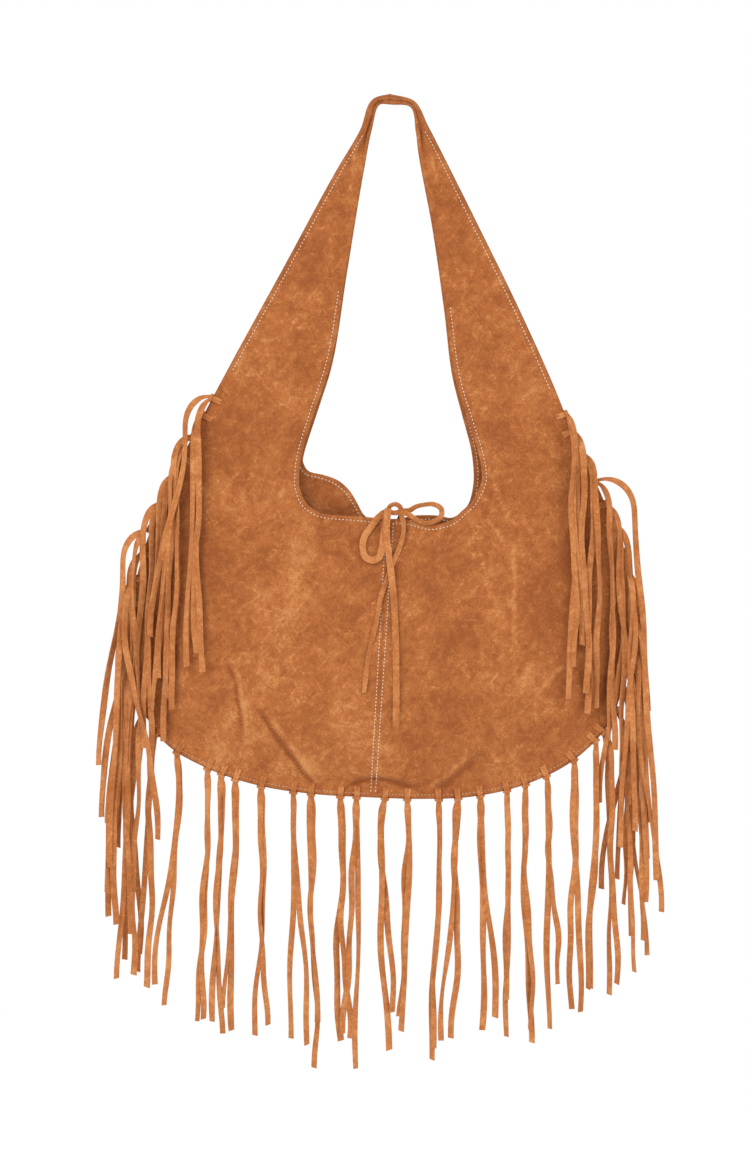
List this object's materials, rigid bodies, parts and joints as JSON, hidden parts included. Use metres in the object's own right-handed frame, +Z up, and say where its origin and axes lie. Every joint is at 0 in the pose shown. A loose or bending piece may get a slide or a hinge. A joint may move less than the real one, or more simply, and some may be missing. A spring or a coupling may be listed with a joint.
{
  "type": "shoulder bag",
  "caption": "Slouchy suede shoulder bag hanging from its handle: wide straps growing out of the body, a tie bow at the mouth, and long suede fringe laced round the sides and bottom.",
  "frame": {"origin": "under the crest of the handle, where the bag hangs, in the middle of its thickness", "axes": "+Z up, the bag's front faces -Y, +X is to the right seen from the front"},
  "size_m": [0.5248, 0.0657, 0.8972],
  "materials": {
    "suede_panel": "napped tan suede",
    "suede_lace": "cut tan suede strip"
  },
  "bodies": {
    "root": {"front_left_panel": "suede_panel", "front_right_panel": "suede_panel", "back_left_panel": "suede_panel", "back_right_panel": "suede_panel", "front_tie_lace": "suede_lace", "back_tie_lace": "suede_lace", "fringe_bottom_01": "suede_lace", "fringe_bottom_02": "suede_lace", "fringe_bottom_03": "suede_lace", "fringe_bottom_04": "suede_lace", "fringe_bottom_05": "suede_lace", "fringe_bottom_06": "suede_lace", "fringe_bottom_07": "suede_lace", "fringe_bottom_08": "suede_lace", "fringe_bottom_09": "suede_lace", "fringe_bottom_10": "suede_lace", "fringe_bottom_11": "suede_lace", "fringe_bottom_12": "suede_lace", "fringe_bottom_13": "suede_lace", "fringe_bottom_14": "suede_lace", "fringe_bottom_15": "suede_lace", "fringe_bottom_16": "suede_lace", "fringe_bottom_17": "suede_lace", "fringe_bottom_18": "suede_lace", "fringe_bottom_19": "suede_lace", "fringe_left_01": "suede_lace", "fringe_left_02": "suede_lace", "fringe_left_03": "suede_lace", "fringe_left_04": "suede_lace", "fringe_left_05": "suede_lace", "fringe_left_06": "suede_lace", "fringe_left_07": "suede_lace", "fringe_left_08": "suede_lace", "fringe_left_09": "suede_lace", "fringe_left_10": "suede_lace", "fringe_left_11": "suede_lace", "fringe_left_12": "suede_lace", "fringe_left_13": "suede_lace", "fringe_left_14": "suede_lace", "fringe_left_15": "suede_lace", "fringe_left_16": "suede_lace", "fringe_right_01": "suede_lace", "fringe_right_02": "suede_lace", "fringe_right_03": "suede_lace", "fringe_right_04": "suede_lace", "fringe_right_05": "suede_lace", "fringe_right_06": "suede_lace", "fringe_right_07": "suede_lace", "fringe_right_08": "suede_lace", "fringe_right_09": "suede_lace", "fringe_right_10": "suede_lace", "fringe_right_11": "suede_lace", "fringe_right_12": "suede_lace", "fringe_right_13": "suede_lace", "fringe_right_14": "suede_lace", "fringe_right_15": "suede_lace"}
  },
  "joints": []
}
